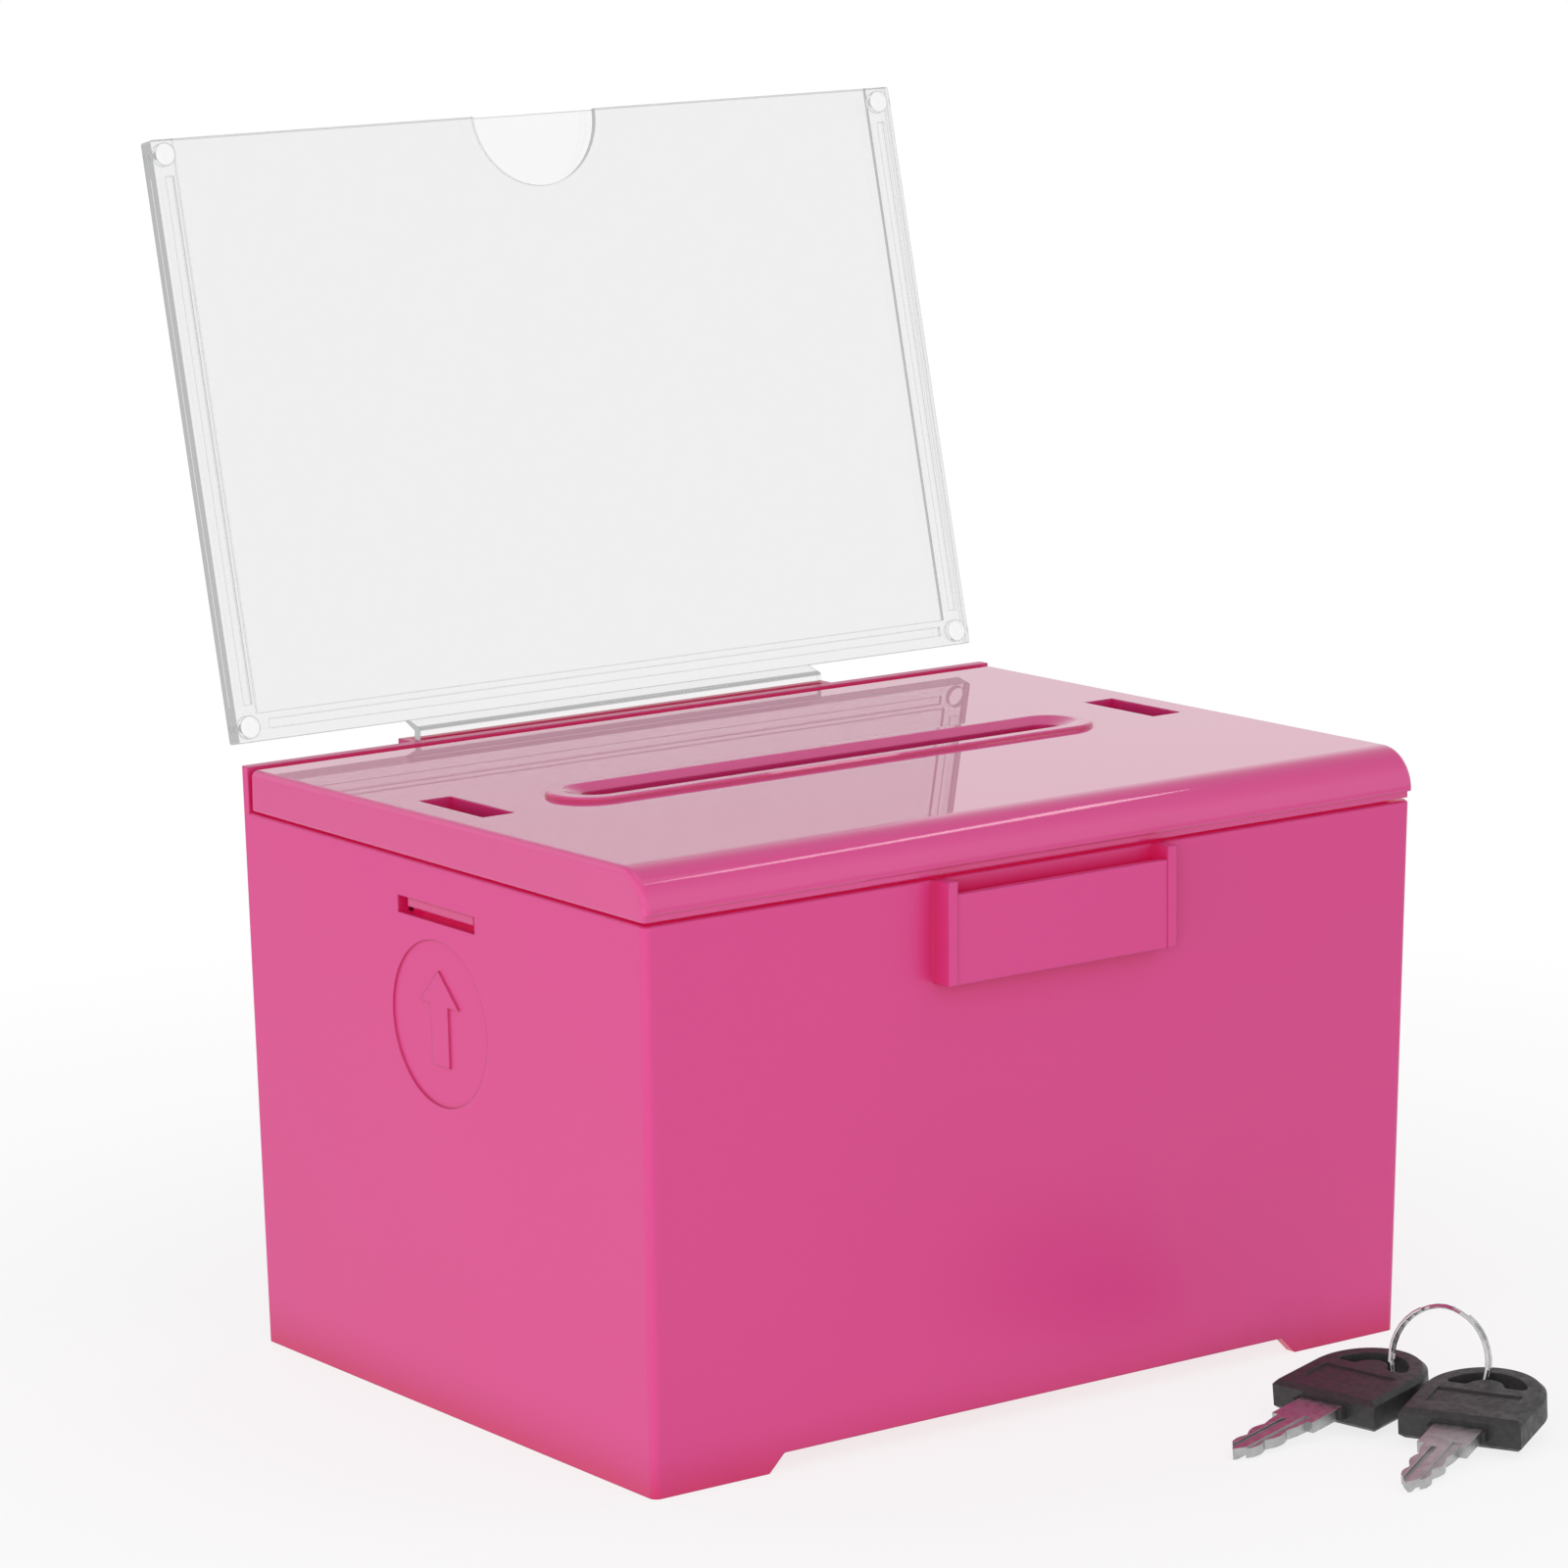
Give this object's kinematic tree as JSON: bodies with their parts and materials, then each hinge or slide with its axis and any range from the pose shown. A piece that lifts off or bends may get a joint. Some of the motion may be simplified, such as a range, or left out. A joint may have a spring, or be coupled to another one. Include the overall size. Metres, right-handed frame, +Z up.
{
  "type": "ballot box",
  "caption": "Pink plastic ballot box: clip-fit slotted lid, lockable rear door, lift-out leaning clear sign holder, and its keys on a split ring beside it.",
  "frame": {"origin": "on the table, in the middle of the box body's footprint", "axes": "+X to the right seen from the front, +Y to the rear where the door and the sign are, +Z up"},
  "size_m": [0.1598, 0.2172, 0.2056],
  "materials": {
    "pink_shell": "glossy",
    "pink_lid": "glossy",
    "pink_door": "glossy",
    "clear_plastic": "clear, polished",
    "black_plastic": "fine moulded texture",
    "blade_steel": "stamped, nickel plated",
    "ring_steel": "polished",
    "lock_chrome": "polished",
    "lock_plug_metal": "polished face",
    "lock_nut_metal": "plated",
    "brass": "stamped",
    "spring_steel": "drawn wire",
    "cam_steel": "zinc plated",
    "screw_steel": "zinc plated",
    "hinge_steel": "drawn rod"
  },
  "bodies": {
    "box": {"box_shell": "pink_shell", "lid": "pink_lid", "hinge_pin_left": "hinge_steel", "hinge_pin_right": "hinge_steel"},
    "door": {"rear_door": "pink_door", "lock_housing": "lock_chrome", "lock_nut": "lock_nut_metal"},
    "lock": {"lock_plug": "lock_plug_metal", "lock_wafers": "brass", "wafer_springs": "spring_steel", "stop_washer": "cam_steel", "lock_cam": "cam_steel", "cam_screw": "screw_steel"},
    "sign": {"sign_back_plate": "clear_plastic", "sign_front_plate": "clear_plastic"},
    "key_ring": {"split_ring": "ring_steel"},
    "key_a": {"key_a_head": "black_plastic", "key_a_blade": "blade_steel"},
    "key_b": {"key_b_head": "black_plastic", "key_b_blade": "blade_steel"}
  },
  "joints": [
    {"name": "door_hinge", "type": "hinge", "parent": "box", "child": "door", "pos_m": [0, 0.05678, 0.014], "axis": [-1, 0, 0], "range_deg": [0, 100]},
    {"name": "lock_turn", "type": "hinge", "parent": "door", "child": "lock", "pos_m": [0, 0.05863, 0.06], "axis": [0, -0.9999, 0.0162], "range_deg": [0, 90]},
    {"name": "sign_lift", "type": "slide", "parent": "box", "child": "sign", "axis": [0, 0, 1], "range_m": [0, 0.03]},
    {"name": "key_ring_lift", "type": "slide", "parent": "box", "child": "key_ring", "axis": [0, 0, 1], "range_m": [0, 0.08]},
    {"name": "key_a_swing", "type": "hinge", "parent": "key_ring", "child": "key_a", "pos_m": [0.04665, -0.09325, 0.00528], "axis": [0, 0, -1], "range_deg": [0, 10]},
    {"name": "key_b_swing", "type": "hinge", "parent": "key_ring", "child": "key_b", "pos_m": [0.0517, -0.10791, 0.00528], "axis": [0, 0, 1], "range_deg": [0, 10]}
  ]
}
